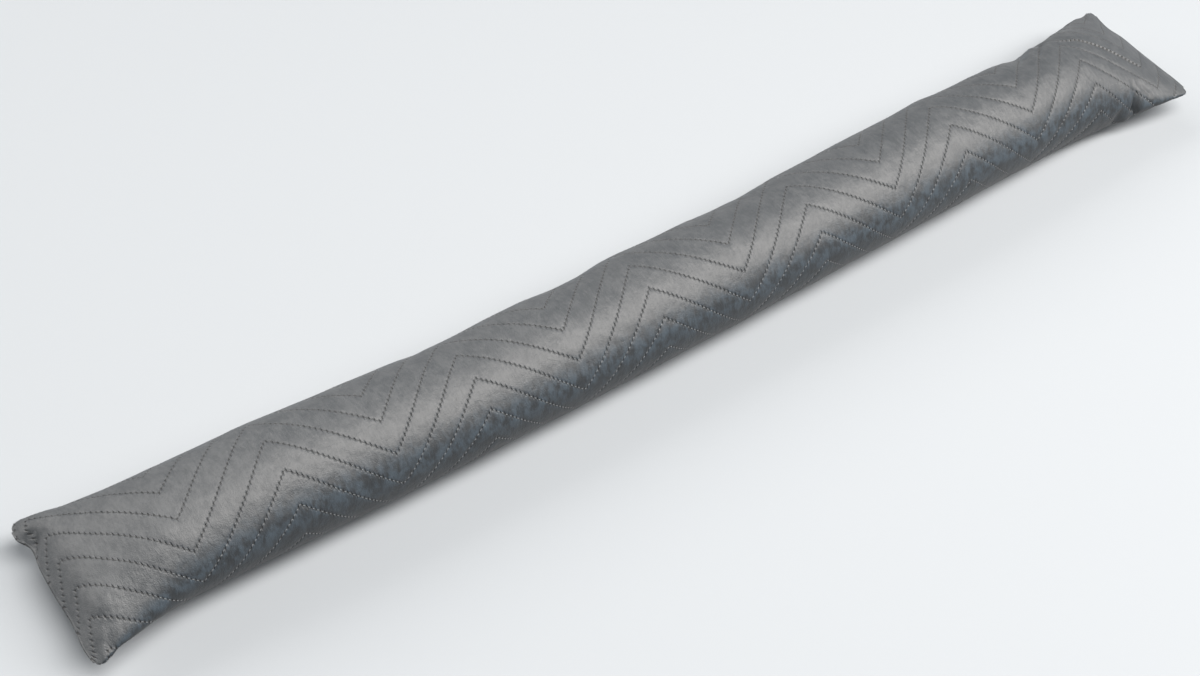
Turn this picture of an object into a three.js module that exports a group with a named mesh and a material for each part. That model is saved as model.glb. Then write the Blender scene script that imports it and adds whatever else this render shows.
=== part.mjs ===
// A draught excluder: one long filled roll of grey velvet, quilted in chevron rows, lying on its back.
//
// Millimetres, +Z up. X runs along the roll, Y across it, and z = 0 is the surface that it lies on.
// The cover is one quilted panel, folded along the near side (-Y), sewn along the far side (+Y) and
// across both ends. It is filled, so its middle is a round tube and its ends are flat, with four ears.
// Places on the cover are given as "along" (X) and "around" (the way round the girth from the far
// seam, over the crown, to the near fold at half the girth, and back under the roll).

import * as THREE from 'three';

// Driving sizes
const LENGTH = 904; // between the end seams, at the middle of their width
const GIRTH = 240; // round the cover
const ROWS = 11; // quilted rows round the girth
const ROW = GIRTH / ROWS; // from one row of stitches to the next
const ROW_START = 18.6; // around, of one row at the first turn
const ZIGZAG = 3 * ROW; // how far round the girth a row climbs between two turns
const QUILT_DEPTH = 1.6; // how deep a row of stitches lies between its two ribs
const RIB_LIFT = 0.6; // how far the ribs stand proud of the plain section
const RIB_ROUNDNESS = 0.7; // 1 for a sine, and less for a flatter rib with a narrower groove
const SEAM_FADE = 10; // the quilting fades out this close to an end seam
const EAR_RADIUS = 6; // rounding of the four ears in plan
const EAR_REACH = 22; // how far in from an end its edge's waviness reaches
const SHARP_EDGE = [30, 60]; // the side edges are sharp up to the first distance from an end, then fade
const BOW = 10.4; // the middle lies this much nearer to -Y than the ends
const SKEW = 3.7; // and the bow is this much stronger on the +X side

// Turns of the zigzag along the roll: even turns point to the far side, odd ones to the near side
const TURNS = 14;
const FIRST_TURN = -444;
const SECOND_TURN = -380.7;
const TURN_PITCH = 68;
const LAST_TURN = 425;
const LEFT_CLIMB = 24; // what a row climbs between the left end seam and the first turn
const RIGHT_CLIMB = 26; // and between the last turn and the right end seam

// Mesh steps
const STEPS_PER_TURN = 6;
const STEPS_PER_ROW = 4;
const LEFT_MARGIN_STEPS = [0, 0.06, 0.25, 0.55];
const RIGHT_MARGIN_STEPS = [0.2, 0.4, 0.6, 0.78, 0.9, 0.97, 1];
const SECTION_SAMPLES = 120;
const PROBE = 0.5; // distance at which the cover's slope is felt

// Cross sections along the roll. Rise and depth are above and below the seam plane, roll is how far the
// cover has turned round its filling, and fullness is 0.5 for a round section and more for a lens.
const STATION_COLUMNS = ['along', 'halfWidth', 'rise', 'depth', 'seamHeight', 'roll', 'fullness'];
const STATIONS = table(STATION_COLUMNS, [
  [-452, 58.4, 2, 2, 23.7, -9, 0.7],
  [-440, 54, 15, 9, 28.9, -9, 0.62],
  [-420, 48.5, 23, 21, 30.8, -9, 0.56],
  [-395, 43.2, 29.6, 32.7, 34, -11.5, 0.5],
  [-350, 41.5, 35.6, 35.8, 35, -12.5, 0.5],
  [-200, 39.8, 36, 36.8, 33.4, -10.4, 0.5],
  [0, 39, 36, 37.2, 33.4, -7.2, 0.5],
  [200, 39, 36.4, 37.7, 33.6, -4, 0.5],
  [320, 38.3, 37.4, 39.5, 31.5, -2.2, 0.5],
  [375, 39.9, 34.2, 37, 28.2, -2.2, 0.52],
  [410, 47.1, 23, 25.3, 27.4, -1, 0.56],
  [436, 51.6, 10.4, 11, 26.4, -0.9, 0.62],
  [452, 52, 2, 2, 24, -0.5, 0.7],
]);

// The end seams seen from above: how far each stands out at places across it, from the near ear (-1)
// to the far ear (1)
const END_EDGES = table(['across', 'left', 'right'], [
  [-1, 3, 3.5],
  [-0.75, 4, 3],
  [-0.4, 1.4, 0.8],
  [0, 0.8, -0.8],
  [0.35, -0.6, -1.2],
  [0.6, -2.8, -3],
  [0.8, 1.8, -1.4],
  [1, 1.2, 1.6],
]);

// Creases and slack places, each a soft trough between two points of the cover. A full place has a
// depth below zero.
const FOLD_COLUMNS = ['startAlong', 'startAround', 'endAlong', 'endAround', 'width', 'depth'];
const FOLDS = table(FOLD_COLUMNS, [
  [404, 98, 392, 128, 7, 5.5], // deep pinch beside the right near ear
  [424, 96, 412, 118, 6, 2.5], // its smaller neighbour
  [-440, 104, -438, 116, 6, 2.4], // dimple of the left near ear
  [-446, 18, -438, 12, 5, 2.2], // crease of the left far ear
  [-174, 5, -174, 45, 24, 1.8], // slack places along the far side
  [-86, 10, -86, 50, 16, 1.6],
  [46, 10, 46, 50, 18, 1.8],
  [330, 10, 330, 50, 9, 2.6],
  [-300, 5, -300, 50, 40, -0.9], // and full places, which stand out
  [-36, 10, -36, 50, 22, -1],
  [190, 10, 190, 50, 60, -0.8],
]);

/** Rows of named numbers from a plain table. */
function table(columns, rows) {
  return rows.map((row) => Object.fromEntries(columns.map((name, i) => [name, row[i]])));
}

/** Slope of a table's column at one row, from its neighbours, level at a crest or a dip. */
function slopeAt(rows, key, name, i) {
  const rate = (a, b) => (rows[b][name] - rows[a][name]) / (rows[b][key] - rows[a][key]);
  if (i === 0) return rate(0, 1);
  if (i === rows.length - 1) return rate(i - 1, i);
  const before = rate(i - 1, i);
  const after = rate(i, i + 1);
  if (before * after <= 0) return 0;
  const widthBefore = rows[i][key] - rows[i - 1][key];
  const widthAfter = rows[i + 1][key] - rows[i][key];
  return (before * widthAfter + after * widthBefore) / (widthBefore + widthAfter);
}

/** A table's column read at any place, on a smooth curve through its rows. */
function readTable(rows, name, at) {
  const key = Object.keys(rows[0])[0];
  let i = 0;
  while (i < rows.length - 2 && at >= rows[i + 1][key]) i += 1;
  const width = rows[i + 1][key] - rows[i][key];
  const t = (at - rows[i][key]) / width;
  const startSlope = slopeAt(rows, key, name, i) * width;
  const endSlope = slopeAt(rows, key, name, i + 1) * width;
  const startPart = (2 * t ** 3 - 3 * t ** 2 + 1) * rows[i][name] + (t ** 3 - 2 * t ** 2 + t) * startSlope;
  const endPart = (3 * t ** 2 - 2 * t ** 3) * rows[i + 1][name] + (t ** 3 - t ** 2) * endSlope;
  return startPart + endPart;
}

/** Where along the roll the zigzag turns, with the two end seams, and how far round a row has climbed. */
function turnTable() {
  const rows = [[-LENGTH / 2, LEFT_CLIMB], [FIRST_TURN, 0]];
  for (let turn = 1; turn < TURNS - 1; turn += 1) {
    rows.push([SECOND_TURN + (turn - 1) * TURN_PITCH, turn % 2 ? ZIGZAG : 0]);
  }
  rows.push([LAST_TURN, ZIGZAG], [LENGTH / 2, ZIGZAG - RIGHT_CLIMB]);
  return table(['along', 'climb'], rows);
}

/** The zigzag's climb at any place along the roll: straight lines between the turns. */
function climbAt(turns, along) {
  let i = 0;
  while (i < turns.length - 2 && along >= turns[i + 1].along) i += 1;
  const t = (along - turns[i].along) / (turns[i + 1].along - turns[i].along);
  return THREE.MathUtils.lerp(turns[i].climb, turns[i + 1].climb, t);
}

/** Places along the roll where the mesh has a ring of points: on every turn and between them. */
function ringPlaces(turns) {
  const places = [];
  for (let i = 0; i < turns.length - 1; i += 1) {
    const start = turns[i].along;
    const span = turns[i + 1].along - start;
    if (i === 0) {
      LEFT_MARGIN_STEPS.forEach((step) => places.push(start + step * span));
    } else if (i === turns.length - 2) {
      [0, ...RIGHT_MARGIN_STEPS].forEach((step) => places.push(start + step * span));
    } else {
      for (let step = 0; step < STEPS_PER_TURN; step += 1) {
        places.push(start + (step / STEPS_PER_TURN) * span);
      }
    }
  }
  return places;
}

/** Sideways place of the roll's middle line. */
function sideways(along) {
  const t = (2 * along) / LENGTH;
  return -(BOW * (1 - t * t) + SKEW * (t ** 3 - t));
}

/** What the rounding of the ears takes off the half width, close to an end. */
function earCut(along) {
  const inside = LENGTH / 2 - Math.abs(along);
  const t = THREE.MathUtils.clamp(1 - inside / EAR_RADIUS, 0, 1);
  return EAR_RADIUS * (1 - Math.sqrt(1 - t * t));
}

/** Lengthwise place of a point, moved out or in with the waviness of its end seam. */
function lengthwise(along, across) {
  const inside = LENGTH / 2 - Math.abs(along);
  const fade = Math.exp(-((inside / EAR_REACH) ** 2));
  const end = along < 0 ? 'left' : 'right';
  return along + Math.sign(along) * fade * readTable(END_EDGES, end, THREE.MathUtils.clamp(across, -1, 1));
}

/** One half of a cross section, from the far seam to the near fold, with its running length. */
function halfSection(halfWidth, height, fullness) {
  const points = [];
  let run = 0;
  for (let i = 0; i <= SECTION_SAMPLES; i += 1) {
    const angle = (Math.PI * i) / SECTION_SAMPLES;
    const y = halfWidth * Math.cos(angle);
    const z = height * Math.abs(Math.sin(angle)) ** (2 * fullness);
    if (i > 0) run += Math.hypot(y - points[i - 1].y, z - points[i - 1].z);
    points.push({ y, z, run });
  }
  return points;
}

/** The point at a fraction of a half section's length. */
function alongHalf(points, fraction) {
  const wanted = fraction * points[SECTION_SAMPLES].run;
  let i = 0;
  while (i < SECTION_SAMPLES - 1 && points[i + 1].run < wanted) i += 1;
  const [before, after] = [points[i], points[i + 1]];
  const t = (wanted - before.run) / (after.run - before.run);
  return { y: THREE.MathUtils.lerp(before.y, after.y, t), z: THREE.MathUtils.lerp(before.z, after.z, t) };
}

/** The cross section at one place: a function from a place around to the bare cover's point there. */
function sectionAt(along) {
  const row = Object.fromEntries(STATION_COLUMNS.map((name) => [name, readTable(STATIONS, name, along)]));
  const halfWidth = row.halfWidth - earCut(along);
  const top = halfSection(halfWidth, row.rise, row.fullness);
  const bottom = halfSection(halfWidth, -row.depth, row.fullness);
  return (around) => {
    const place = THREE.MathUtils.euclideanModulo(around, GIRTH);
    const fraction = place / (GIRTH / 2);
    const { y, z } = fraction < 1 ? alongHalf(top, fraction) : alongHalf(bottom, 2 - fraction);
    return new THREE.Vector3(lengthwise(along, y / row.halfWidth), y + sideways(along), row.seamHeight + z);
  };
}

/** How deep the folds press the cover in at a place. */
function foldDepth(along, around) {
  const place = new THREE.Vector2(along, THREE.MathUtils.euclideanModulo(around, GIRTH));
  let depth = 0;
  for (const fold of FOLDS) {
    const start = new THREE.Vector2(fold.startAlong, fold.startAround);
    const line = new THREE.Vector2(fold.endAlong, fold.endAround).sub(start);
    const t = THREE.MathUtils.clamp(place.clone().sub(start).dot(line) / line.lengthSq(), 0, 1);
    const distance = place.distanceTo(start.addScaledVector(line, t));
    depth += fold.depth * Math.exp(-((distance / fold.width) ** 2));
  }
  return depth;
}

/** How deep the quilting lies at a step between two rows of stitches, from 0 to STEPS_PER_ROW. */
function quiltDepth(step) {
  const rib = Math.sin((Math.PI * step) / STEPS_PER_ROW) ** RIB_ROUNDNESS;
  return QUILT_DEPTH * (1 - rib) - RIB_LIFT;
}

/** Places around of one ring's points. Close to an end, one of them is drawn to each sharp edge. */
function ringAround(turns, along) {
  const step = ROW / STEPS_PER_ROW;
  const start = ROW_START + climbAt(turns, along) - readTable(STATIONS, 'roll', along);
  const pull = 1 - THREE.MathUtils.smoothstep(LENGTH / 2 - Math.abs(along), ...SHARP_EDGE);
  return Array.from({ length: ROWS * STEPS_PER_ROW }, (_, i) => {
    const place = start + i * step;
    const edge = Math.round(place / (GIRTH / 2)) * (GIRTH / 2);
    return Math.abs(place - edge) <= step / 2 ? THREE.MathUtils.lerp(place, edge, pull) : place;
  });
}

/** One ring of the cover's points, quilted and creased, and flat where it lies on the surface. */
function ringPoints(turns, along) {
  const behind = sectionAt(Math.max(along - PROBE, -LENGTH / 2));
  const here = sectionAt(along);
  const ahead = sectionAt(Math.min(along + PROBE, LENGTH / 2));
  const seamFade = THREE.MathUtils.smoothstep(LENGTH / 2 - Math.abs(along), 0, SEAM_FADE);
  return ringAround(turns, along).map((around, i) => {
    const lengthways = ahead(around).sub(behind(around));
    const crossways = here(around + PROBE).sub(here(around - PROBE));
    const inward = lengthways.cross(crossways).normalize();
    const depth = seamFade * quiltDepth(i % STEPS_PER_ROW) + foldDepth(along, around);
    const point = here(around).addScaledVector(inward, depth);
    point.z = Math.max(point.z, 0);
    return point;
  });
}

/** Closes one end of the tube of rings with the thin face of its seam, facing +X where outward is true. */
function endFace(ring, first, outward) {
  const outline = ring.map((point) => new THREE.Vector2(point.y, point.z));
  const faces = THREE.ShapeUtils.triangulateShape(outline, []);
  return faces.flatMap(([a, b, c]) => (outward ? [a, b, c] : [c, b, a]).map((corner) => first + corner));
}

/** The filled cover as one closed mesh, with its rows of stitches along the mesh's own edges. */
function coverGeometry() {
  const turns = turnTable();
  const places = ringPlaces(turns);
  const rings = places.map((along) => ringPoints(turns, along));
  const count = ROWS * STEPS_PER_ROW;
  const faces = [];
  for (let ring = 0; ring < rings.length - 1; ring += 1) {
    const climbs = climbAt(turns, places[ring + 1]) > climbAt(turns, places[ring]);
    for (let i = 0; i < count; i += 1) {
      const next = (i + 1) % count;
      const [a, b] = [ring * count + i, ring * count + next];
      const [c, d] = [(ring + 1) * count + i, (ring + 1) * count + next];
      faces.push(...(climbs ? [a, b, c, b, d, c] : [a, d, c, a, b, d]));
    }
  }
  faces.push(...endFace(rings[0], 0, false));
  faces.push(...endFace(rings[rings.length - 1], (rings.length - 1) * count, true));
  const geometry = new THREE.BufferGeometry().setFromPoints(rings.flat());
  geometry.setIndex(faces);
  geometry.computeBoundingBox();
  const middle = geometry.boundingBox.getCenter(new THREE.Vector3());
  geometry.translate(-middle.x, -middle.y, -geometry.boundingBox.min.z);
  geometry.computeVertexNormals();
  return geometry;
}

const velvet = new THREE.MeshStandardMaterial({ color: 0x85868a, roughness: 0.85, metalness: 0 });

const cover = new THREE.Mesh(coverGeometry(), velvet);
cover.name = 'quilted_roll';

const group = new THREE.Group();
group.add(cover);

export default group;
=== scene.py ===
"""A draught excluder: one long velvet roll, quilted in chevron rows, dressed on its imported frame.

The roll's shape is worked out in millimetres and made in metres, in the frame's own axes: X along
the roll, Y across it towards its sewn side, and Z up from the surface that it lies on. Places on the
cover are "along" (X) and "around" (the way round the girth, from the far seam over the crown to the
near fold at half the girth, and back underneath).
"""

import logging
import math
from dataclasses import dataclass, field
from enum import Enum

import bpy
import numpy as np
from mathutils import Matrix, Vector
from numpy.typing import NDArray


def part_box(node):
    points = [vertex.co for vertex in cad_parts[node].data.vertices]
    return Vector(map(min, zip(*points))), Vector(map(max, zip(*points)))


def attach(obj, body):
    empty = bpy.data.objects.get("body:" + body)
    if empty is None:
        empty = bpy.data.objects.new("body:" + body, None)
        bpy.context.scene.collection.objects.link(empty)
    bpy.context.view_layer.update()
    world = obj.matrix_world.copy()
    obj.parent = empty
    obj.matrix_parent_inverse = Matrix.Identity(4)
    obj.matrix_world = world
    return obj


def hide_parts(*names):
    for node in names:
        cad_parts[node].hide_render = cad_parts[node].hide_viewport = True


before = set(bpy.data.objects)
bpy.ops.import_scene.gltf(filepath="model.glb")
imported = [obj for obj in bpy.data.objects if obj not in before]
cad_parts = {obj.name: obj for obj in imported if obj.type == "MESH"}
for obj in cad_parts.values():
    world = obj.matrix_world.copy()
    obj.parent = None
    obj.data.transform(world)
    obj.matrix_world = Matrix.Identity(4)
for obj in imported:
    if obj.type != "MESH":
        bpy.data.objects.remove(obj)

Array = NDArray[np.float64]
Colour = tuple[float, float, float, float]

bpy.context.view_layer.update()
ROLL_NODE = "quilted_roll"
BODY = "root"
MILLIMETRE = 0.001
NOISE_FALLOFF = 0.55
LOG = logging.getLogger("draught_excluder")


def grey(level: float, warmth: float = 0.0) -> Colour:
    """Makes a grey.

    Args:
        level: How light it is, in linear light.
        warmth: How much red stands over blue, as a share of the level.

    Returns:
        The colour with full alpha.
    """
    return (level * (1 + warmth), level, level * (1 - warmth), 1.0)


def smooth_step(value: Array, start: float, end: float) -> Array:
    """Rises smoothly from 0 at start to 1 at end."""
    t = np.clip((value - start) / (end - start), 0.0, 1.0)
    return t * t * (3 - 2 * t)


@dataclass(frozen=True)
class Table:
    """Rows of numbers under named columns, read on a smooth curve over the first column."""

    columns: tuple[str, ...]
    rows: tuple[tuple[float, ...], ...]

    def read(self, name: str, at: Array) -> Array:
        """Reads one column at any places.

        Args:
            name: The column's name.
            at: Places on the first column.

        Returns:
            The column's values there.
        """
        numbers = np.array(self.rows)
        keys, values = numbers[:, 0], numbers[:, self.columns.index(name)]
        widths = np.diff(keys)
        rates = np.diff(values) / widths
        inner = (rates[:-1] * widths[1:] + rates[1:] * widths[:-1]) / (widths[1:] + widths[:-1])
        inner[rates[:-1] * rates[1:] <= 0] = 0.0
        slopes = np.concatenate([rates[:1], inner, rates[-1:]])
        i = np.clip(np.searchsorted(keys, at, side="right") - 1, 0, len(widths) - 1)
        t = (at - keys[i]) / widths[i]
        start = (2 * t**3 - 3 * t**2 + 1) * values[i] + (t**3 - 2 * t**2 + t) * slopes[i] * widths[i]
        end = (3 * t**2 - 2 * t**3) * values[i + 1] + (t**3 - t**2) * slopes[i + 1] * widths[i]
        return start + end


@dataclass(frozen=True)
class Fold:
    """A soft trough in the cover between two places, or a full place where its depth is negative.

    Its depth is pressed in, its pull draws the cover level towards the sewn side, and its taper is
    the share of both that is missing at its start.
    """

    start: tuple[float, float]
    end: tuple[float, float]
    width: float
    depth: float = 0.0
    pull: float = 0.0
    taper: float = 0.0

    def reach(self, along: Array, around: Array) -> Array:
        """Works out how much of this fold's depth and sideways pull is felt.

        Args:
            along: Places along the roll.
            around: Places round the girth.

        Returns:
            The share at each place, from 0 to 1.
        """
        line = np.subtract(self.end, self.start)
        t = ((along - self.start[0]) * line[0] + (around - self.start[1]) * line[1]) / (line @ line)
        t = np.clip(t, 0.0, 1.0)
        distance = np.hypot(along - self.start[0] - t * line[0], around - self.start[1] - t * line[1])
        return (1 - self.taper * (1 - t)) * np.exp(-((distance / self.width) ** 2))


# Sections: half the width, and how far the crown and the underside stand from the seam line.
STATIONS = Table(
    ("along", "half_width", "rise", "depth", "seam_height", "roll", "fullness"),
    (
        (-452, 58.4, 2, 2, 23.7, -9, 0.7),
        (-440, 54, 15, 9, 28.9, -9, 0.62),
        (-420, 48.5, 23, 21, 30.8, -9, 0.56),
        (-395, 43.2, 29.6, 32.7, 34, -11.5, 0.5),
        (-350, 41.5, 35.6, 35.8, 35, -12.5, 0.5),
        (-200, 39.8, 36, 36.8, 33.4, -10.4, 0.5),
        (0, 39, 36, 37.2, 33.4, -7.2, 0.5),
        (200, 39, 36.4, 37.7, 33.6, -4, 0.5),
        (320, 38.3, 37.4, 39.5, 31.5, -2.2, 0.5),
        (375, 39.9, 34.2, 37, 28.2, -2.2, 0.52),
        (410, 47.1, 23, 25.3, 27.4, -1, 0.56),
        (436, 51.6, 10.4, 11, 26.4, -0.9, 0.62),
        (452, 52, 2, 2, 24, -0.5, 0.7),
    ),
)

# How far each end seam stands out, from the near edge at -1 to the far edge at 1.
END_EDGES = Table(
    ("across", "left", "right"),
    (
        (-1, 3, 3.5),
        (-0.75, 4, 3),
        (-0.4, 1.4, 0.8),
        (0, 0.8, -0.8),
        (0.35, -0.6, -1.2),
        (0.6, -2.8, -3),
        (0.8, 1.8, -1.4),
        (1, 1.2, 1.6),
    ),
)

# How deep the rows of stitches lie below the ribs.
QUILT_DEPTHS = Table(
    ("along", "depth"),
    ((-452, 0.6), (-380, 0.8), (-200, 0.85), (100, 0.95), (300, 1.2), (370, 1.8), (452, 2.0)),
)

# Folds, dips and full places, from the right end to the left, each given as (along, around).
FOLDS = (
    Fold((403.5, 97), (400.5, 121), width=2.6, depth=2, pull=3.2, taper=0.7),
    Fold((399, 100), (394, 120), width=7, depth=1, pull=1.4, taper=0.8),
    Fold((385, 121), (386, 128), width=3.6, pull=1.8),
    Fold((394, 122), (396, 132), width=4.5, pull=-1.9),
    Fold((409, 99), (415, 109), width=2, depth=1.4),
    Fold((436, -2), (436, 12), width=5, pull=-1.6),
    Fold((367, 21), (345, 42), width=3.6, depth=1.7),
    Fold((367, 21), (382, 38), width=3.6, depth=1.7),
    Fold((351, 18), (353, 30), width=6, depth=-1.3),
    Fold((367, 31), (367, 36), width=5, depth=-0.8),
    Fold((390, 16), (392, 26), width=8, depth=-1),
    Fold((316, 52), (344, 16), width=8, depth=4, taper=0.75),
    Fold((330, 10), (330, 50), width=9, depth=1),
    Fold((240, 10), (240, 50), width=12, depth=-1.3),
    Fold((190, 10), (190, 50), width=60, depth=-0.8),
    Fold((72, 10), (72, 50), width=12, depth=1.6),
    Fold((90, 10), (90, 50), width=10, depth=0.9),
    Fold((46, 10), (46, 50), width=18, depth=1.4),
    Fold((-36, 10), (-36, 50), width=22, depth=-1),
    Fold((-64, 10), (-64, 50), width=12, depth=1.2),
    Fold((-86, 10), (-86, 50), width=16, depth=1.4),
    Fold((-174, 5), (-174, 45), width=24, depth=1.8),
    Fold((-192, 10), (-192, 45), width=8, depth=0.9),
    Fold((-300, 5), (-300, 50), width=40, depth=-0.9),
    Fold((-382, 66), (-375, 72), width=4, depth=1.1),
    Fold((-440.5, 16), (-445.5, 18), width=1.9, depth=1.2),
    Fold((-447.5, 17.5), (-450.5, 14.5), width=1.8, depth=0.8),
    Fold((-451, 25), (-448, 23), width=1.8, depth=1),
    Fold((-434, 90), (-392, 77), width=10, depth=-1.8),
    Fold((-438, 103), (-442, 116), width=2.4, depth=1.2),
)


@dataclass(frozen=True)
class RollShape:
    """The filled roll without its quilting: sections, bow, ears and folds, in millimetres."""

    length: float = 904.0
    girth: float = 240.0
    ear_radius: float = 6.0
    ear_reach: float = 22.0
    bow: float = 10.4
    skew: float = 3.7
    samples: int = 240
    probe: float = 0.5

    def inside(self, along: Array) -> Array:
        """Distance in from the nearer end seam."""
        return self.length / 2 - np.abs(along)

    def sideways(self, along: Array) -> Array:
        """Sideways place of the roll's middle line."""
        t = 2 * along / self.length
        return -(self.bow * (1 - t * t) + self.skew * (t**3 - t))

    def half_width(self, along: Array) -> Array:
        """Half the section's width, less what the round ears take off."""
        t = np.clip(1 - self.inside(along) / self.ear_radius, 0.0, 1.0)
        return STATIONS.read("half_width", along) - self.ear_radius * (1 - np.sqrt(1 - t * t))

    def lengthwise(self, along: Array, across: Array) -> Array:
        """Lengthwise place of points, moved with the waviness of their end seam.

        Args:
            along: Places along the roll, one for each row of across.
            across: Places across it, from -1 at the near edge to 1 at the far one.

        Returns:
            The points' X.
        """
        fade = np.exp(-((self.inside(along) / self.ear_reach) ** 2))
        across = np.clip(across, -1.0, 1.0)
        left, right = END_EDGES.read("left", across), END_EDGES.read("right", across)
        return along + fade * np.where(along < 0, -left, right)

    def bare(self, along: Array, around: Array) -> Array:
        """Points of the plain surface, before folds and quilting.

        Args:
            along: Places along the roll, shape (n,).
            around: Places round the girth for each of them, shape (n, m).

        Returns:
            The points, shape (n, m, 3).
        """
        angle = np.linspace(0.0, math.pi, self.samples + 1)
        widths = self.half_width(along)
        rise, depth = STATIONS.read("rise", along), STATIONS.read("depth", along)
        fullness = STATIONS.read("fullness", along)
        half = self.girth / 2
        place = np.mod(around, self.girth) / half
        y, z = np.empty(around.shape), np.empty(around.shape)
        for i, width in enumerate(widths):
            flat = width * np.cos(angle)
            lens = np.abs(np.sin(angle)) ** (2 * fullness[i])
            top, fraction = place[i] < 1, np.where(place[i] < 1, place[i], 2 - place[i])
            for chosen, height in ((top, rise[i] * lens), (~top, -depth[i] * lens)):
                run = np.concatenate([[0.0], np.cumsum(np.hypot(np.diff(flat), np.diff(height)))])
                wanted = fraction[chosen] * run[-1]
                y[i, chosen] = np.interp(wanted, run, flat)
                z[i, chosen] = np.interp(wanted, run, height)
        x = self.lengthwise(along[:, None], y / STATIONS.read("half_width", along)[:, None])
        y = y + self.sideways(along)[:, None]
        z = z + STATIONS.read("seam_height", along)[:, None]
        return np.stack([x, y, z], axis=-1)

    def inward(self, along: Array, around: Array) -> Array:
        """Unit vectors that point into the roll, square to its plain surface.

        Args:
            along: Places along the roll, shape (n,).
            around: Places round the girth, shape (n, m).

        Returns:
            The vectors, shape (n, m, 3).
        """
        limit = self.length / 2
        ahead = self.bare(np.minimum(along + self.probe, limit), around)
        behind = self.bare(np.maximum(along - self.probe, -limit), around)
        across = self.bare(along, around + self.probe) - self.bare(along, around - self.probe)
        vectors = np.cross(ahead - behind, across)
        return vectors / np.linalg.norm(vectors, axis=-1, keepdims=True)

    def folded(self, along: Array, around: Array) -> tuple[Array, Array]:
        """Adds up the folds.

        Args:
            along: Places along the roll, shape (n,).
            around: Places round the girth, shape (n, m).

        Returns:
            How deep they press in, and how far they draw towards the sewn side, each shape (n, m).
        """
        quarter = self.girth / 4
        place = np.mod(around + quarter, self.girth) - quarter
        reaches = [fold.reach(along[:, None], place) for fold in FOLDS]
        depth = sum(fold.depth * reach for fold, reach in zip(FOLDS, reaches))
        pull = sum(fold.pull * reach for fold, reach in zip(FOLDS, reaches))
        return depth, pull

    def pressed(self, along: Array, around: Array, depth: Array) -> Array:
        """Points of the surface with its folds, and with its quilting pressed in.

        Args:
            along: Places along the roll, shape (n,).
            around: Places round the girth, shape (n, m).
            depth: How deep the quilting lies there, shape (n, m).

        Returns:
            The points, shape (n, m, 3).
        """
        folded, pulled = self.folded(along, around)
        points = self.bare(along, around)
        points += self.inward(along, around) * (depth + folded)[..., None]
        points[..., 1] += pulled
        return points


@dataclass(frozen=True)
class Chevrons:
    """The quilting: rows of stitches that zigzag along the roll, evenly spaced round the girth."""

    shape: RollShape
    rows: int = 11
    row_start: float = 18.6
    turns: int = 14
    first_turn: float = -444.0
    second_turn: float = -380.7
    turn_pitch: float = 68.0
    last_turn: float = 425.0
    left_climb: float = 24.0
    right_climb: float = 26.0
    stitch_pitch: float = 3.42
    slack_end: tuple[float, float] = (325.0, 380.0)
    slack_side: tuple[float, float] = (76.0, 98.0)
    slackness: float = 0.65
    rib_lift: float = 0.6
    rib_roundness: float = 0.8
    groove_softness: float = 0.16
    seam_fade: float = 10.0

    @property
    def row(self) -> float:
        """Distance round the girth from one row to the next."""
        return self.shape.girth / self.rows

    def corners(self) -> tuple[Array, Array]:
        """The zigzag's corners.

        Returns:
            Where the rows turn along the roll, with the two end seams, and how far round the girth
            they have climbed there.
        """
        zigzag = 3 * self.row
        end = self.shape.length / 2
        middle = self.second_turn + self.turn_pitch * np.arange(self.turns - 2)
        places = np.concatenate([[-end, self.first_turn], middle, [self.last_turn, end]])
        climbs = np.where(np.arange(self.turns) % 2, zigzag, 0.0)
        return places, np.concatenate([[self.left_climb], climbs, [zigzag - self.right_climb]])

    def climb(self, along: Array) -> Array:
        """How far round the girth the rows have climbed at each place along the roll."""
        return np.interp(along, *self.corners())

    def run(self, along: Array) -> Array:
        """Measures the thread from the left end seam.

        Args:
            along: Places along the roll.

        Returns:
            Its length to each place, in stitches.
        """
        places, climbs = self.corners()
        legs = np.hypot(np.diff(places), np.diff(climbs))
        return np.interp(along, places, np.concatenate([[0.0], np.cumsum(legs)])) / self.stitch_pitch

    def lean(self, along: Array) -> Array:
        """How a distance round the girth lies to the rows.

        Args:
            along: Places along the roll, shape (n,).

        Returns:
            Its share square to the rows, and the share along them beyond that of an even zigzag,
            shape (n, 2).
        """
        places, climbs = self.corners()
        forward, up = np.diff(places), np.diff(climbs)
        leg = np.clip(np.searchsorted(places, along, side="right") - 1, 0, len(up) - 1)
        further = np.sign(up) * np.maximum(np.abs(up) - forward, 0.0)
        return (np.stack([forward, further], axis=-1) / np.hypot(forward, up)[:, None])[leg]

    def around(self, along: Array, row: Array) -> Array:
        """Places round the girth, counted from the sections' own far edge.

        Args:
            along: Places along the roll, shape (n,).
            row: Row numbers, which need not be whole, shape (m,).

        Returns:
            The places, shape (n, m).
        """
        start = self.row_start + self.climb(along) - STATIONS.read("roll", along)
        return start[:, None] + row[None, :] * self.row

    def depth(self, along: Array, row: Array) -> Array:
        """How deep the quilting lies below its ribs.

        Args:
            along: Places along the roll, shape (n,).
            row: Row numbers, which need not be whole, shape (m,).

        Returns:
            The depth, shape (n, m), less the ribs' lift.
        """
        soft = self.groove_softness
        raised = np.sqrt(np.sin(np.pi * row) ** 2 + soft**2) ** self.rib_roundness
        lowest, highest = soft**self.rib_roundness, math.hypot(1.0, soft) ** self.rib_roundness
        rib = (raised - lowest) / (highest - lowest)
        fade = smooth_step(self.shape.inside(along), 0.0, self.seam_fade)[:, None]
        loose = smooth_step(along, *self.slack_end)[:, None]
        loose = loose * smooth_step(self.around(along, row), *self.slack_side)
        deepest = QUILT_DEPTHS.read("depth", along)[:, None] * (1 - self.slackness * loose)
        return fade * (deepest - self.rib_lift - deepest * rib[None, :])


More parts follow.
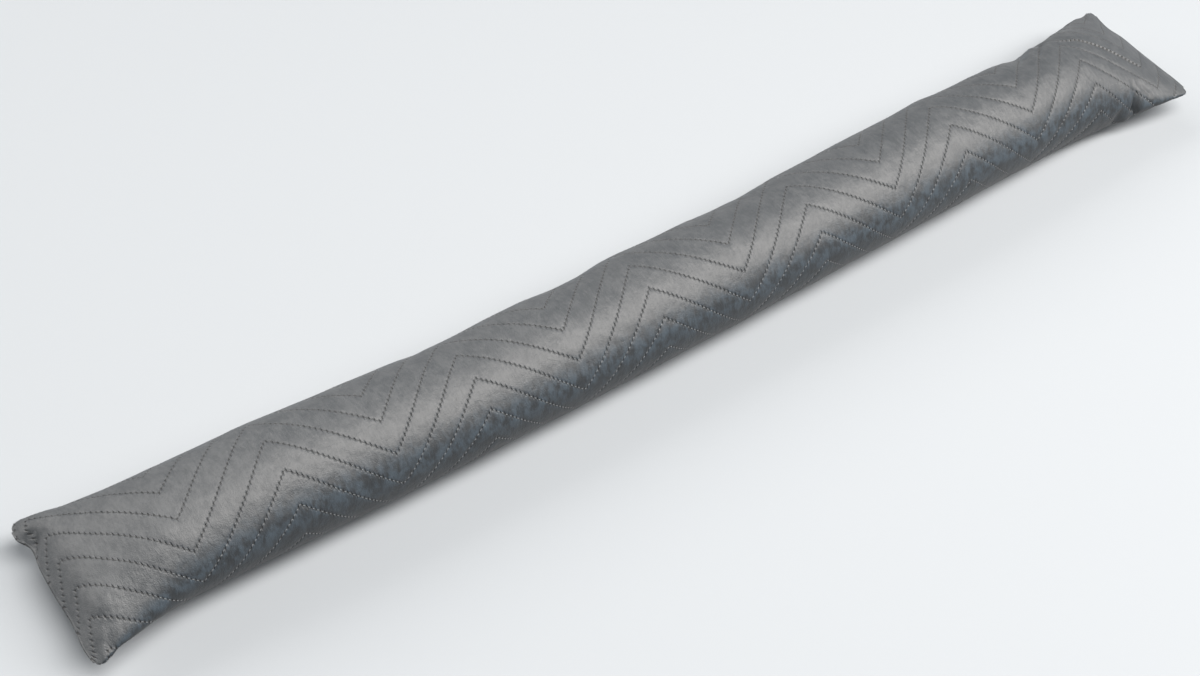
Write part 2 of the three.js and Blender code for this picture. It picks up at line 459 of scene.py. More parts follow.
class Sock:
    """An output socket of a shader node, with operators that add Math nodes."""

    def __init__(self, shop: "NodeShop", output: bpy.types.NodeSocket | None) -> None:
        """Keeps the socket and the shop that makes its nodes."""
        self.shop = shop
        self.output = output

    def __add__(self, other: "Value") -> "Sock":
        """Sum."""
        return self.shop.maths("ADD", self, other)

    __radd__ = __add__

    def __sub__(self, other: "Value") -> "Sock":
        """Difference."""
        return self.shop.maths("SUBTRACT", self, other)

    def __rsub__(self, other: "Value") -> "Sock":
        """Difference from a number."""
        return self.shop.maths("SUBTRACT", other, self)

    def __mul__(self, other: "Value") -> "Sock":
        """Product."""
        return self.shop.maths("MULTIPLY", self, other)

    __rmul__ = __mul__


Value = Sock | float
Input = Sock | float | Colour | tuple[float, float, float]


class NodeShop:
    """Makes one material's nodes."""

    def __init__(self, name: str) -> None:
        """Starts an empty material.

        Args:
            name: The material's name.
        """
        self.material = bpy.data.materials.new(name)
        self.material.use_nodes = True
        self.tree = self.material.node_tree
        self.tree.nodes.clear()

    def node(
        self,
        kind: str,
        settings: dict[str, object] | None = None,
        sockets: dict[str | int, Input] | None = None,
        output: str | int = 0,
    ) -> Sock:
        """Adds a node.

        Args:
            kind: The node's type.
            settings: Its own settings, which are set before its sockets.
            sockets: Values or links of its input sockets, by name or number.
            output: The output socket that is handed back.

        Returns:
            That output, which is empty where the node has none.
        """
        made = self.tree.nodes.new(kind)
        for key, value in (settings or {}).items():
            setattr(made, key, value)
        for key, value in (sockets or {}).items():
            if isinstance(value, Sock):
                self.tree.links.new(value.output, made.inputs[key])
            else:
                made.inputs[key].default_value = value
        return Sock(self, made.outputs[output] if made.outputs else None)

    def maths(self, operation: str, *values: Value) -> Sock:
        """Adds a Math node with this operation on these values."""
        return self.node("ShaderNodeMath", {"operation": operation}, dict(enumerate(values)))

    def vector(self, operation: str, *values: Sock | tuple[float, float, float]) -> Sock:
        """Adds a Vector Math node with this operation on these vectors."""
        return self.node("ShaderNodeVectorMath", {"operation": operation}, dict(enumerate(values)))

    def ramp(self, value: Value, start: float, end: float) -> Sock:
        """Rises smoothly from 0 where the value is start to 1 where it is end."""
        sockets = {"Value": value, "From Min": start, "From Max": end}
        return self.node("ShaderNodeMapRange", {"interpolation_type": "SMOOTHSTEP"}, sockets)

    def blend(self, factor: Value, start: Input, end: Input) -> Sock:
        """Mixes two colours."""
        return self.node("ShaderNodeMix", {"data_type": "RGBA"}, {0: factor, 6: start, 7: end}, 2)

    def noise(self, place: Sock, scale: float, detail: float, seed: float = 0.0) -> Sock:
        """Adds smooth noise.

        Args:
            place: Where it is read.
            scale: How many lumps there are to a metre.
            detail: How many finer layers it has.
            seed: Another number gives another pattern.

        Returns:
            Its value, about 0.5 on average.
        """
        sockets = {"Vector": place, "W": seed, "Scale": scale, "Detail": detail, "Roughness": NOISE_FALLOFF}
        return self.node("ShaderNodeTexNoise", {"noise_dimensions": "4D"}, sockets)

    def separate(self, vector: Sock, *axes: str) -> list[Sock]:
        """Splits these axes from a vector."""
        return [self.node("ShaderNodeSeparateXYZ", sockets={0: vector}, output=axis) for axis in axes]

    def layout(self, name: str) -> Sock:
        """Reads one of a piece's flat layouts."""
        return self.node("ShaderNodeUVMap", {"uv_map": name})

    def finish(self, shader: Sock) -> bpy.types.Material:
        """Joins the shader to the material's output."""
        self.node("ShaderNodeOutputMaterial", sockets={"Surface": shader})
        return self.material


@dataclass(frozen=True)
class VelvetFinish:
    """Short-pile grey velvet: soft gloss, mottled nap, a row of needle holes along each stitch line, and
    painted shade on its near and far sides, underneath and in the holes.
    """

    chevrons: Chevrons
    light_nap: Colour = grey(0.051, -0.08)
    dark_nap: Colour = grey(0.029, -0.14)
    # Painted shade on the near and far sides: darker and bluer than the nap, with the nap's mottling mixed
    # between the two.
    crushed_shade_light: Colour = grey(0.039, -0.32)
    crushed_shade_dark: Colour = grey(0.008, -0.32)
    # Painted shade on the underside: surfaces that turn downward are darkened towards this colour.
    under: Colour = grey(0.009, -0.3)
    # Painted shade in the needle holes, which are also pressed in by the bump.
    hole_shade: Colour = grey(0.004)
    roughness: float = 0.57
    gloss: float = 0.63
    sheen: tuple[float, float] = (0.03, 0.45)
    patch_scale: float = 100.0
    brush_scale: tuple[float, float, float] = (560.0, 190.0, 190.0)
    crush_scale: tuple[float, float, float] = (170.0, 120.0, 120.0)
    grain_scale: float = 1300.0
    nap_mix: tuple[float, float, float] = (0.35, 0.38, 0.27)
    nap_range: tuple[float, float] = (0.38, 0.62)
    tuft_mix: tuple[float, float, float] = (0.6, 0.25, 0.15)
    tuft_range: tuple[float, float] = (0.4, 0.6)
    crushed_side_shade_range: tuple[float, float] = (0.55, 0.95)
    under_shade_range: tuple[float, float] = (-0.1, 0.5)
    under_shade_share: float = 0.8
    hole_shade_share: float = 0.85
    patch_height: float = 0.8
    pile_height: tuple[float, float, float] = (0.42, 0.22, 0.28)
    hole_depth: float = 0.3
    dimple_depth: float = 0.5
    hole_size: tuple[float, float] = (0.7, 0.75)
    hole_core: float = 0.4
    dimple_size: tuple[float, float] = (1.1, 1.8)

    def build(self) -> bpy.types.Material:
        """Makes the material.

        Returns:
            The material.
        """
        shop = NodeShop("grey_velvet_finish")
        place = shop.node("ShaderNodeTexCoord", output="Object")
        patches = shop.noise(place, self.patch_scale, detail=2.0)
        brushed = shop.noise(shop.vector("MULTIPLY", place, self.brush_scale), 1.0, detail=2.0, seed=4.0)
        crush = shop.noise(shop.vector("MULTIPLY", place, self.crush_scale), 1.0, detail=3.0, seed=6.0)
        grain = shop.noise(place, self.grain_scale, detail=2.0, seed=9.0)
        nap = shop.ramp(self.mixed(self.nap_mix, patches, brushed, grain), *self.nap_range)
        tufts = shop.ramp(self.mixed(self.tuft_mix, crush, brushed, grain), *self.tuft_range)
        sides = shop.node("ShaderNodeTexCoord", output="Normal")
        lean, height = shop.separate(sides, "Y", "Z")
        # Painted shade: surfaces that face the near or far side take the darker, bluer, mottled colours.
        crushed_side_shade = shop.ramp(shop.maths("ABSOLUTE", lean), *self.crushed_side_shade_range)
        # Painted shade: the colour grows darker as the surface turns downward.
        under = 1 - shop.ramp(height, *self.under_shade_range)
        smooth = shop.blend(nap, self.dark_nap, self.light_nap)
        shaded_crushed_nap = shop.blend(tufts, self.crushed_shade_dark, self.crushed_shade_light)
        colour = shop.blend(crushed_side_shade, smooth, shaded_crushed_nap)
        colour = shop.blend(self.under_shade_share * under, colour, self.under)
        holes, dimples = self.stitch_masks(shop)
        # Painted shade: the needle holes are darkened in the colour, as well as pressed in by the bump.
        colour = shop.blend(self.hole_shade_share * holes, colour, self.hole_shade)
        pile = self.patch_height * patches + self.mixed(self.pile_height, crush, brushed, grain)
        relief = pile - self.hole_depth * holes - self.dimple_depth * dimples
        bump = shop.node("ShaderNodeBump", sockets={"Distance": MILLIMETRE, "Height": relief})
        shader = shop.node(
            "ShaderNodeBsdfPrincipled",
            sockets={
                "Base Color": colour,
                "Roughness": self.roughness,
                "Specular IOR Level": self.gloss,
                "Sheen Weight": self.sheen[0],
                "Sheen Roughness": self.sheen[1],
                "Normal": bump,
            },
        )
        return shop.finish(shader)

    def mixed(self, shares: tuple[float, float, float], first: Sock, second: Sock, third: Sock) -> Sock:
        """Adds up these shares of three noises."""
        return shares[0] * first + shares[1] * second + shares[2] * third

    def stitch_masks(self, shop: NodeShop) -> tuple[Sock, Sock]:
        """Finds the needle holes.

        Args:
            shop: Where the nodes are made.

        Returns:
            Two masks: the holes, and the dimples round them, which are wider across the row.
        """
        stitch, row = shop.separate(shop.layout("quilting"), "X", "Y")
        square, further = shop.separate(shop.layout("lean"), "X", "Y")
        off_row = shop.maths("WRAP", row, 0.5, -0.5) * self.chevrons.row
        from_row = shop.maths("ABSOLUTE", off_row) * square
        run = stitch * self.chevrons.stitch_pitch + off_row * further
        from_hole = shop.maths("PINGPONG", run, 0.5 * self.chevrons.stitch_pitch)
        masks = []
        for (along, across), core in ((self.hole_size, self.hole_core), (self.dimple_size, 0.0)):
            far, wide = from_hole * (1 / along), from_row * (1 / across)
            masks.append(1 - shop.ramp(shop.maths("SQRT", far * far + wide * wide), core, 1.0))
        return masks[0], masks[1]


@dataclass(frozen=True)
class ThreadFinish:
    """Twisted grey sewing thread, with painted shade where it sits on top of the roll and a painted
    highlight where it sits on the near and far sides.
    """

    # Painted shade on top of the roll: darker thread where the stitches sit on top.
    shaded_top: Colour = grey(0.055, -0.05)
    shaded_top_dark: Colour = grey(0.035, -0.05)
    # Painted highlight: lighter thread where the stitches sit on the near or far side.
    bare: Colour = grey(0.15, -0.05)
    lit_side_dark: Colour = grey(0.07, -0.05)
    lit_side_range: tuple[float, float] = (0.5, 0.85)
    twist_scale: float = 2600.0
    twist_height: float = 0.1 * MILLIMETRE
    roughness: tuple[float, float] = (0.6, 0.35)

    def build(self) -> bpy.types.Material:
        """Makes the material.

        Returns:
            The material.
        """
        shop = NodeShop("quilting_thread_finish")
        place = shop.node("ShaderNodeTexCoord", output="Object")
        # Painted shade and highlight: the share of the lighter side colours, by how far the stitch faces
        # the near or far side.
        bare = shop.ramp(shop.separate(shop.layout("facing"), "X")[0], *self.lit_side_range)
        twist = shop.noise(place, self.twist_scale, detail=1.0)
        light = shop.blend(bare, self.shaded_top, self.bare)
        dark = shop.blend(bare, self.shaded_top_dark, self.lit_side_dark)
        bump = shop.node("ShaderNodeBump", sockets={"Distance": self.twist_height, "Height": twist})
        deep, high = self.roughness
        sockets = {
            "Base Color": shop.blend(twist, dark, light),
            "Roughness": deep + (high - deep) * bare,
            "Normal": bump,
        }
        return shop.finish(shop.node("ShaderNodeBsdfPrincipled", sockets=sockets))


@dataclass(frozen=True)
class FloorFinish:
    """A plain pale studio floor."""

    colour: Colour = grey(0.28, -0.062)
    roughness: float = 0.9
    gloss: float = 0.1

    def build(self) -> bpy.types.Material:
        """Makes the material.

        Returns:
            The material.
        """
        shop = NodeShop("pale_floor_finish")
        sockets = {
            "Base Color": self.colour,
            "Roughness": self.roughness,
            "Specular IOR Level": self.gloss,
        }
        return shop.finish(shop.node("ShaderNodeBsdfPrincipled", sockets=sockets))


def mesh_object(
    name: str, points: Array, faces: list[tuple[int, ...]], material: bpy.types.Material
) -> bpy.types.Object:
    """Makes a smooth mesh object in the scene.

    Args:
        name: The object's name.
        points: Its points in metres.
        faces: Point numbers of each face.
        material: Its finish.

    Returns:
        The object.
    """
    mesh = bpy.data.meshes.new(name)
    mesh.from_pydata(points.tolist(), [], faces)
    mesh.materials.append(material)
    mesh.shade_smooth()
    made = bpy.data.objects.new(name, mesh)
    bpy.context.scene.collection.objects.link(made)
    return made


def tube_faces(rings: int, count: int) -> list[tuple[int, ...]]:
    """Quads between rings of points.

    Args:
        rings: How many rings there are.
        count: How many points each has.

    Returns:
        The point numbers of each quad, ring by ring.
    """
    corner = np.arange(rings * count).reshape(rings, count)
    following = np.roll(corner, -1, axis=1)
    faces = np.stack([corner[:-1], following[:-1], following[1:], corner[1:]], axis=-1)
    return [tuple(face) for face in faces.reshape(-1, 4).tolist()]


def kernel(at: Array, knots: Array, width: float, period: float = 0.0) -> Array:
    """Weights that read a smooth value at any places from values at knots.

    Args:
        at: The places, shape (n,).
        knots: The knots, shape (m,).
        width: How far each knot reaches.
        period: Length of the round that they lie on, or 0 where they lie on a line.

    Returns:
        The weights, shape (n, m), which add up to 1 at each place.
    """
    apart = at[:, None] - knots[None, :]
    if period:
        apart = np.mod(apart + period / 2, period) - period / 2
    weights = np.exp(-((apart / width) ** 2)) + 1e-12
    return weights / weights.sum(axis=1, keepdims=True)


@dataclass
class Filling:
    """The filling's push on the cover between its stitches, found with Blender's cloth simulation.

    A coarse net of the cover, with a thread of it on every row of stitches, swells under pressure. The
    rows and the end seams hold it, and the cloth between them has slack, so it puffs and puckers.
    """

    shape: RollShape
    chevrons: Chevrons
    steps_per_turn: int = 14
    steps_per_row: int = 6
    frames: int = 20
    pressure: float = 4.0
    row_hold: float = 0.85
    rib_hold: float = 0.05
    hold_reach: float = 0.6
    slack_reach: float = 0.8
    end_reach: float = 16.0
    row_shrink: float = 0.03
    rib_slack: float = 0.06
    lump_size: float = 17.0
    lump_waves: int = 40
    lump_level: tuple[float, float] = (0.55, 0.3)
    seed: int = 7
    most: float = 2.4
    fine_reach: tuple[float, float] = (4.5, 0.2)
    broad_reach: tuple[float, float] = (26.0, 1.1)
    along: Array = field(default_factory=lambda: np.zeros(0))
    rows: Array = field(default_factory=lambda: np.zeros(0))
    moved: Array = field(default_factory=lambda: np.zeros((0, 0, 3)))

    def net(self) -> Array:
        """Lays out the net on the quilted surface.

        Returns:
            Its points in millimetres, shape (rings, around, 3).
        """
        corners, _ = self.chevrons.corners()
        even = np.linspace(0.0, 1.0, self.steps_per_turn, endpoint=False)
        spans = [start + even * (end - start) for start, end in zip(corners[:-1], corners[1:])]
        self.along = np.concatenate([*spans, corners[-1:]])
        self.rows = np.arange(self.chevrons.rows * self.steps_per_row) / self.steps_per_row
        around = self.chevrons.around(self.along, self.rows)
        return self.shape.pressed(self.along, around, self.chevrons.depth(self.along, self.rows))

    def lumps(self, points: Array) -> Array:
        """Makes the filling uneven.

        Args:
            points: The net's points.

        Returns:
            A share of full pressure, from 0 to 1, at each point.
        """
        numbers = np.random.default_rng(self.seed)
        waves = numbers.normal(size=(self.lump_waves, 3)) / self.lump_size
        phases = numbers.uniform(0.0, 2 * np.pi, self.lump_waves)
        value = np.sin(points.reshape(-1, 3) @ waves.T + phases).sum(axis=1)
        value = value / math.sqrt(self.lump_waves / 2)
        level, swing = self.lump_level
        return np.clip(level + swing * value, 0.0, 1.0)

    def weights(self, points: Array) -> dict[str, Array]:
        """Works out how far each point of the net is held, drawn in and pushed out.

        Args:
            points: The net's points.

        Returns:
            The shares, from 0 to 1, under the names of the net's groups.
        """
        rib = np.abs(np.sin(np.pi * self.rows))[None, :] * np.ones((len(self.along), 1))
        held = self.row_hold + (self.rib_hold - self.row_hold) * smooth_step(rib, 0.0, self.hold_reach)
        free = smooth_step(self.shape.inside(self.along), 0.0, self.end_reach)[:, None]
        return {
            "held": (1 - free * (1 - held)).ravel(),
            "slack": smooth_step(rib, 0.0, self.slack_reach).ravel(),
            "pushed": self.lumps(points),
        }

    def settle(self) -> None:
        """Runs the simulation and keeps how far each point of the net moved."""
        points = self.net()
        self.moved = np.zeros_like(points)
        faces = tube_faces(*points.shape[:2])
        mesh = bpy.data.meshes.new("filling_net")
        mesh.from_pydata((points.reshape(-1, 3) * MILLIMETRE).tolist(), [], faces)
        net = bpy.data.objects.new("filling_net", mesh)
        bpy.context.scene.collection.objects.link(net)
        for name, values in self.weights(points).items():
            group = net.vertex_groups.new(name=name)
            for index, value in enumerate(values.tolist()):
                group.add([index], value, "REPLACE")
        self.make_cloth(net)
        for frame_number in range(1, self.frames + 1):
            bpy.context.scene.frame_set(frame_number)
        swollen = net.evaluated_get(bpy.context.evaluated_depsgraph_get()).to_mesh()
        reached = np.empty(points.size)
        swollen.vertices.foreach_get("co", reached)
        net.to_mesh_clear()
        moved = reached.reshape(points.shape) / MILLIMETRE - points
        size = np.linalg.norm(moved, axis=-1, keepdims=True)
        self.moved = moved * (self.most * np.tanh(size / self.most) / np.maximum(size, 1e-9))
        LOG.info("filling: pushed out by up to %.1f mm, %.2f mm on average", size.max(), size.mean())
        bpy.data.objects.remove(net)
        bpy.data.meshes.remove(mesh)
        bpy.context.scene.frame_set(1)

    def make_cloth(self, net: bpy.types.Object) -> None:
        """Gives the net its cloth settings, without gravity.

        Args:
            net: The net, with its groups.
        """
        cloth = net.modifiers.new("cloth", "CLOTH")
        cloth.point_cache.frame_start, cloth.point_cache.frame_end = 1, self.frames
        cloth.collision_settings.use_collision = False
        values = {
            "quality": 8,
            "mass": 0.3,
            "air_damping": 2.0,
            "tension_stiffness": 15.0,
            "compression_stiffness": 15.0,
            "shear_stiffness": 8.0,
            "bending_stiffness": 0.3,
            "vertex_group_mass": "held",
            "pin_stiffness": 6.0,
            "vertex_group_shrink": "slack",
            "shrink_min": self.row_shrink,
            "shrink_max": -self.rib_slack,
            "use_pressure": True,
            "uniform_pressure_force": self.pressure,
            "vertex_group_pressure": "pushed",
        }
        for name, value in values.items():
            setattr(cloth.settings, name, value)
        cloth.settings.effector_weights.gravity = 0.0

    def push(self, along: Array, rows: Array) -> Array:
        """How far the cover moves at any places, without the slow part that the sections already have.

        Args:
            along: Places along the roll, shape (n,).
            rows: Row numbers, shape (m,).

        Returns:
            The moves in millimetres, shape (n, m, 3).
        """
        total = float(self.chevrons.rows)
        fine, broad = (
            np.einsum(
                "ni,ijc,mj->nmc",
                kernel(along, self.along, reach),
                self.moved,
                kernel(rows, self.rows, rows_reach, total),
                optimize=True,
            )
            for reach, rows_reach in (self.fine_reach, self.broad_reach)
        )
        return fine - broad


@dataclass
class QuiltedCover:
    """The velvet cover, as filled: its ribs, grooves, folds, end seams and far seam."""

    shape: RollShape
    chevrons: Chevrons
    filling: Filling
    steps_per_turn: int = 34
    margin_steps: int = 14
    margin_ease: float = 1.5
    steps_per_row: int = 16
    row_ease: float = 0.1
    sharp_edge: tuple[float, float] = (30.0, 60.0)
    seam_lips: tuple[tuple[float, float], ...] = ((0.7, 0.8), (0.9, 0.55), (0.5, 0.3), (-0.8, 0.08))
    far_seam_depth: float = 1.3
    far_seam_width: float = 1.8
    far_seam_fade: tuple[float, float] = (2.0, 14.0)
    shift: Vector = field(default_factory=Vector)

    def places(self) -> Array:
        """Lays out the mesh's rings, on every turn and between them.

        Returns:
            Their places along the roll.
        """
        corners, _ = self.chevrons.corners()
        spans = list(zip(corners[:-1], corners[1:]))
        eased = np.linspace(0.0, 1.0, self.margin_steps, endpoint=False) ** self.margin_ease
        left = [spans[0][0] + eased * (spans[0][1] - spans[0][0])]
        even = np.linspace(0.0, 1.0, self.steps_per_turn, endpoint=False)
        middle = [start + even * (end - start) for start, end in spans[1:-1]]
        right = [spans[-1][1] - eased[::-1] * (spans[-1][1] - spans[-1][0])]
        return np.concatenate([*left, *middle, [spans[-1][0]], *right])

    def row_steps(self) -> Array:
        """Lays out a ring's points, closer together beside each row of stitches.

        Returns:
            Their row numbers.
        """
        even = np.linspace(0.0, 1.0, self.steps_per_row, endpoint=False)
        eased = even - self.row_ease * np.sin(2 * np.pi * even)
        return (np.arange(self.chevrons.rows)[:, None] + eased[None, :]).ravel()

    def around(self, along: Array, steps: Array) -> Array:
        """Finds the rings' points, with one drawn to each sharp edge close to the ends.

        Args:
            along: Places along the roll, shape (n,).
            steps: Row numbers round a ring, shape (m,).

        Returns:
            Their places round the girth, shape (n, m).
        """
        around = self.chevrons.around(along, steps)
        half = self.shape.girth / 2
        edge = np.round(around / half) * half
        reach = self.chevrons.row / self.steps_per_row / 2
        pull = 1 - smooth_step(self.shape.inside(along), *self.sharp_edge)
        near = np.abs(around - edge) <= reach
        return np.where(near, around + pull[:, None] * (edge - around), around)

    def far_seam(self, around: Array) -> Array:
        """Draws in the sewn far side.

        Args:
            around: Places round the girth.

        Returns:
            How deep it draws in there.
        """
        half = self.shape.girth / 2
        distance = half - np.abs(np.mod(around, self.shape.girth) - half)
        return self.far_seam_depth * np.exp(-((distance / self.far_seam_width) ** 2))

    def rings(self) -> tuple[Array, Array, Array]:
        """Works out the cover's points.

        Returns:
            The rings' places along the roll, their row numbers, and their points in millimetres.
        """
        along, steps = self.places(), self.row_steps()
        around = self.around(along, steps)
        depth = self.chevrons.depth(along, steps)
        fade = smooth_step(self.shape.inside(along), *self.far_seam_fade)
        depth += fade[:, None] * self.far_seam(around)
        points = self.shape.pressed(along, around, depth) + self.filling.push(along, steps)
        points[..., 2] = np.maximum(points[..., 2], 0.0)
        return along, steps, points

    def lips(self, ring: Array, outward: float) -> list[Array]:
        """Rings that roll an end's edge over into the crease of its seam.

        Args:
            ring: The end's own ring of points.
            outward: 1 at the right end and -1 at the left.

        Returns:
            The further rings, from the edge inwards.
        """
        seam = ring[:, 2].mean()
        made = []
        for out, thickness in self.seam_lips:
            lip = ring.copy()
            lip[:, 0] += outward * out
            lip[:, 2] = seam + (ring[:, 2] - seam) * thickness
            made.append(lip)
        return made

    def build(self, material: bpy.types.Material) -> bpy.types.Object:
        """Makes the cover.

        Args:
            material: The velvet.

        Returns:
            The object.
        """
        along, steps, points = self.rings()
        left, right = self.lips(points[0], -1.0), self.lips(points[-1], 1.0)
        rings = np.concatenate([left[::-1], points, right])
        total, count = rings.shape[:2]
        faces = tube_faces(total, count)
        faces += [tuple(range(count))[::-1], tuple(range((total - 1) * count, total * count))]
        low, high = rings.reshape(-1, 3).min(axis=0), rings.reshape(-1, 3).max(axis=0)
        box_low, box_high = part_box(ROLL_NODE)
        middle = (Vector(box_low) + Vector(box_high)) / 2
        self.shift = Vector(
            (
                middle.x - (low[0] + high[0]) / 2 * MILLIMETRE,
                middle.y - (low[1] + high[1]) / 2 * MILLIMETRE,
                box_low[2] - low[2] * MILLIMETRE,
            )
        )
        metres = rings.reshape(-1, 3) * MILLIMETRE + np.array(self.shift)
        cover = mesh_object("quilted_cover", metres, faces, material)
        lips = len(self.seam_lips)
        self.lay_out(cover, np.pad(along, lips, mode="edge"), steps)
        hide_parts(ROLL_NODE)
        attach(cover, BODY)
        LOG.info("cover: %d faces", len(cover.data.polygons))
        return cover

    def lay_out(self, cover: bpy.types.Object, along: Array, steps: Array) -> None:
        """Writes the cover's flat layouts: stitches and rows, and how the girth lies to the rows.

        Args:
            cover: The cover.
            along: Places of its rings along the roll.
            steps: Row numbers round a ring.
        """
        count, total = len(steps), len(along)
        run = self.chevrons.run(along)
        wrapped = np.append(steps, self.chevrons.rows)
        stitch = np.stack([run[:-1], run[:-1], run[1:], run[1:]], axis=-1)
        row = np.stack([wrapped[:-1], wrapped[1:], wrapped[1:], wrapped[:-1]], axis=-1)
        layout = np.zeros((total - 1, count, 4, 2))
        layout[..., 0] = stitch[:, None, :]
        layout[..., 1] = row[None, :, :]
        values = np.concatenate([layout.reshape(-1, 2), np.full((2 * count, 2), 0.5)])
        uv = cover.data.uv_layers.new(name="quilting")
        uv.data.foreach_set("uv", values.ravel())
        lean = np.repeat(self.chevrons.lean(0.5 * (along[:-1] + along[1:])), count * 4, axis=0)
        uv = cover.data.uv_layers.new(name="lean")
        uv.data.foreach_set("uv", np.concatenate([lean, np.ones((2 * count, 2))]).ravel())


@dataclass
class QuiltingStitches:
    """The thread of every row, as one small rounded stitch after another, joined in one mesh."""

    cover: QuiltedCover
    length: float = 1.6
    width: float = 0.75
    thickness: float = 0.5
    sides: int = 6
    lowest: float = 0.4
    margin: float = 1.2
    samples: int = 4000
    sections: tuple[tuple[float, float], ...] = ((-0.5, 0.3), (-0.3, 0.9), (0.3, 0.9), (0.5, 0.3))

    def build(self, material: bpy.types.Material) -> bpy.types.Object:
        """Makes the stitches.

        Args:
            material: The thread.

        Returns:
            The object.
        """
        shape, chevrons = self.cover.shape, self.cover.chevrons
        end = shape.length / 2 - self.margin
        fine = np.linspace(-end, end, self.samples)
        counts = chevrons.run(fine)
        whole = np.arange(math.ceil(counts[0]), math.floor(counts[-1])) + 0.5
        along = np.interp(whole, counts, fine)
        rows = np.arange(chevrons.rows, dtype=float)
        half = 0.5 * self.length / chevrons.stitch_pitch
        start = self.on_cover(np.interp(whole - half, counts, fine), rows)
        finish = self.on_cover(np.interp(whole + half, counts, fine), rows)
        inward = shape.inward(along, chevrons.around(along, rows)).reshape(-1, 3)
        middle = 0.5 * (start + finish)
        direction = (finish - start) / np.linalg.norm(finish - start, axis=-1, keepdims=True)
        side = np.cross(direction, inward)
        points = self.solids(middle, direction, side, -inward)
        faces = self.faces(len(middle))
        metres = points.reshape(-1, 3) * MILLIMETRE + np.array(self.cover.shift)
        stitches = mesh_object("quilting_stitches", metres, faces, material)
        corners = len(stitches.data.loops) // len(middle)
        # How far each stitch faces the near or far side, which sets the thread's painted shade and
        # highlight.
        facing = np.zeros((len(middle), corners, 2))
        facing[..., 0] = np.abs(inward[:, 1])[:, None]
        stitches.data.uv_layers.new(name="facing").data.foreach_set("uv", facing.ravel())
        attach(stitches, BODY)
        LOG.info("stitches: %d of them", len(middle))
        return stitches

    def on_cover(self, along: Array, rows: Array) -> Array:
        """Points on the rows of stitches.

        Args:
            along: Places along the roll.
            rows: Whole row numbers.

        Returns:
            The points in millimetres, one after another.
        """
        shape, chevrons = self.cover.shape, self.cover.chevrons
        points = shape.pressed(along, chevrons.around(along, rows), chevrons.depth(along, rows))
        points += self.cover.filling.push(along, rows)
        points[..., 2] = np.maximum(points[..., 2], self.lowest)
        return points.reshape(-1, 3)

    def solids(self, middle: Array, direction: Array, side: Array, up: Array) -> Array:
        """Points of every stitch's rings.

        Args:
            middle: The stitches' middles.
            direction: Their lengthwise unit vectors.
            side: Their sideways unit vectors.
            up: Their unit vectors out of the cover.

        Returns:
            The points, shape (stitches, rings, sides, 3).
        """
        angle = 2 * np.pi * np.arange(self.sides) / self.sides
        along = np.array([place for place, _ in self.sections]) * self.length
        scale = np.array([size for _, size in self.sections])
        wide = 0.5 * self.width * scale[:, None] * np.cos(angle)[None, :]
        high = 0.5 * self.thickness * scale[:, None] * np.sin(angle)[None, :]
        return (
            middle[:, None, None, :]
            + along[None, :, None, None] * direction[:, None, None, :]
            + wide[None, :, :, None] * side[:, None, None, :]
            + high[None, :, :, None] * up[:, None, None, :]
        )

    def faces(self, count: int) -> list[tuple[int, ...]]:
        """Lists the stitches' faces.

        Args:
            count: How many stitches there are.

        Returns:
            The point numbers of each face.
        """
        sides, rings = self.sides, len(self.sections)
        one: list[tuple[int, ...]] = [tuple(range(sides))[::-1]]
        for ring in range(rings - 1):
            for i in range(sides):
                j = (i + 1) % sides
                low = ring * sides
                one.append((low + i, low + j, low + sides + j, low + sides + i))
        one.append(tuple(range((rings - 1) * sides, rings * sides)))
        step = sides * rings
        return [tuple(point + stitch * step for point in face) for stitch in range(count) for face in one]


class Lamp(Enum):
    """The studio's soft lights."""

    KEY = "overhead_strip"
    BACK = "back_softbox"


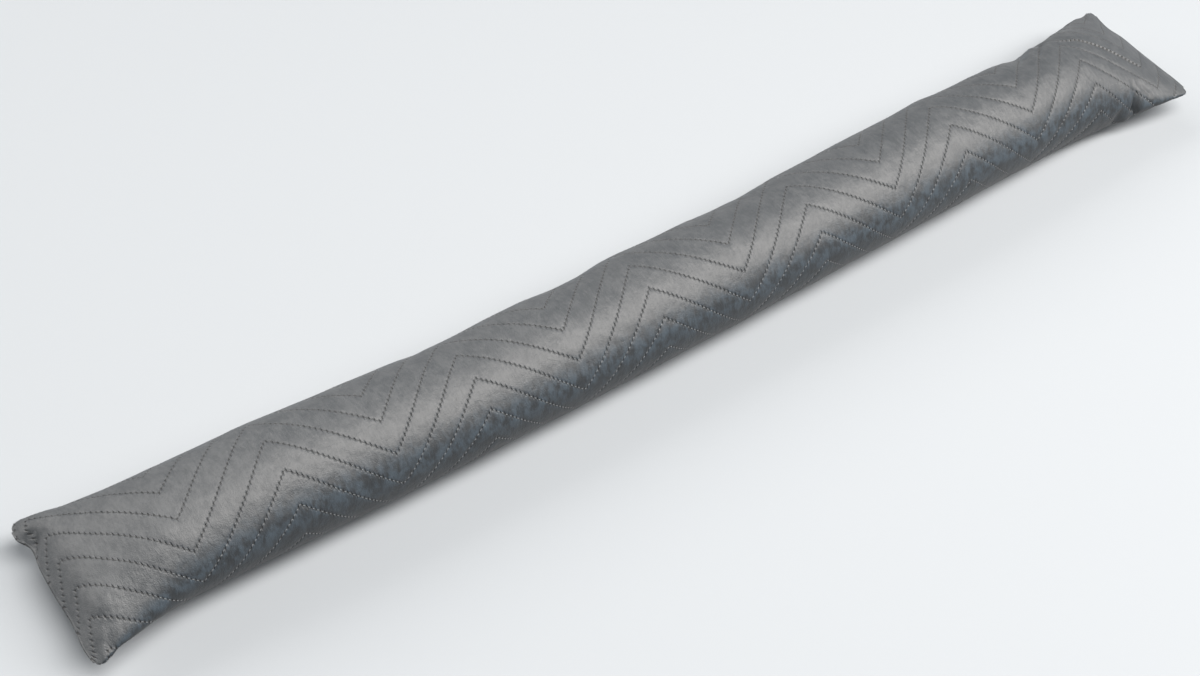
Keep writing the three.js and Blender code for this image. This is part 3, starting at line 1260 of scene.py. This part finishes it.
@dataclass(frozen=True)
class Studio:
    """Floor, soft lights, pale surroundings and the camera at the photo's angle."""

    focal_pixels: float = 2197.0
    frame_pixels: float = 1200.0
    sensor: float = 36.0
    camera_place: tuple[float, float, float] = (-0.7006, -0.6767, 1.1313)
    heading: float = math.radians(43.6)
    elevation: float = math.radians(50.3)
    roll: float = math.radians(9.46)
    floor_size: float = 30.0
    world_level: float = 0.14
    world_colour: Colour = grey(1.0, -0.25)
    lamp_colour: Colour = grey(1.0, 0.05)

    def build(self) -> None:
        """Makes the studio."""
        self.camera()
        self.floor()
        self.world()
        bpy.context.scene.view_settings.view_transform = "Standard"
        self.lamp(Lamp.KEY, place=(0.75, -0.9, 2.3), heading=-20.0, size=(4.0, 0.9), power=238.0)
        self.lamp(Lamp.BACK, place=(-1.2, 1.8, 1.5), heading=0.0, size=(5.0, 1.5), power=112.0)

    def camera(self) -> None:
        """Adds the camera."""
        data = bpy.data.cameras.new("photo_camera")
        data.sensor_width = self.sensor
        data.lens = self.focal_pixels * self.sensor / self.frame_pixels
        made = bpy.data.objects.new("photo_camera", data)
        level = math.cos(self.elevation)
        look = Vector(
            (level * math.sin(self.heading), level * math.cos(self.heading), -math.sin(self.elevation))
        )
        turn = look.to_track_quat("-Z", "Y").to_matrix().to_4x4() @ Matrix.Rotation(self.roll, 4, "Z")
        made.matrix_world = Matrix.Translation(self.camera_place) @ turn
        bpy.context.scene.collection.objects.link(made)
        bpy.context.scene.camera = made

    def floor(self) -> None:
        """Adds the floor, which isn't part of the object."""
        half = self.floor_size / 2
        corners = np.array([(-half, -half, 0.0), (half, -half, 0.0), (half, half, 0.0), (-half, half, 0.0)])
        mesh_object("floor", corners, [(0, 1, 2, 3)], FloorFinish().build())

    def world(self) -> None:
        """Sets the pale surroundings."""
        world = bpy.data.worlds.new("pale_room")
        bpy.context.scene.world = world
        world.use_nodes = True
        background = world.node_tree.nodes["Background"]
        background.inputs["Color"].default_value = self.world_colour
        background.inputs["Strength"].default_value = self.world_level

    def lamp(
        self,
        kind: Lamp,
        place: tuple[float, float, float],
        heading: float,
        size: tuple[float, float],
        power: float,
    ) -> None:
        """Adds a soft light that faces the middle of the roll.

        Args:
            kind: Which light it is.
            place: Where it hangs, in metres.
            heading: Which way its length runs, in degrees from the roll's own.
            size: Its length and width.
            power: Its strength in watts.
        """
        data = bpy.data.lights.new(kind.value, "AREA")
        data.shape = "RECTANGLE"
        data.size, data.size_y = size
        data.energy = power
        data.color = self.lamp_colour[:3]
        back = Vector(place).normalized()
        along = Vector((math.cos(math.radians(heading)), math.sin(math.radians(heading)), 0.0))
        along = (along - along.dot(back) * back).normalized()
        turn = Matrix((along, back.cross(along), back)).transposed().to_4x4()
        made = bpy.data.objects.new(kind.value, data)
        made.matrix_world = Matrix.Translation(place) @ turn
        bpy.context.scene.collection.objects.link(made)


def main() -> None:
    """Builds the draught excluder and its studio."""
    logging.basicConfig(level=logging.INFO, format="%(name)s: %(message)s")
    Studio().build()
    LOG.info("studio ready")
    shape = RollShape()
    chevrons = Chevrons(shape)
    filling = Filling(shape, chevrons)
    filling.settle()
    cover = QuiltedCover(shape, chevrons, filling)
    cover.build(VelvetFinish(chevrons).build())
    QuiltingStitches(cover).build(ThreadFinish().build())
    bpy.context.view_layer.update()


if __name__ == "__main__":
    main()
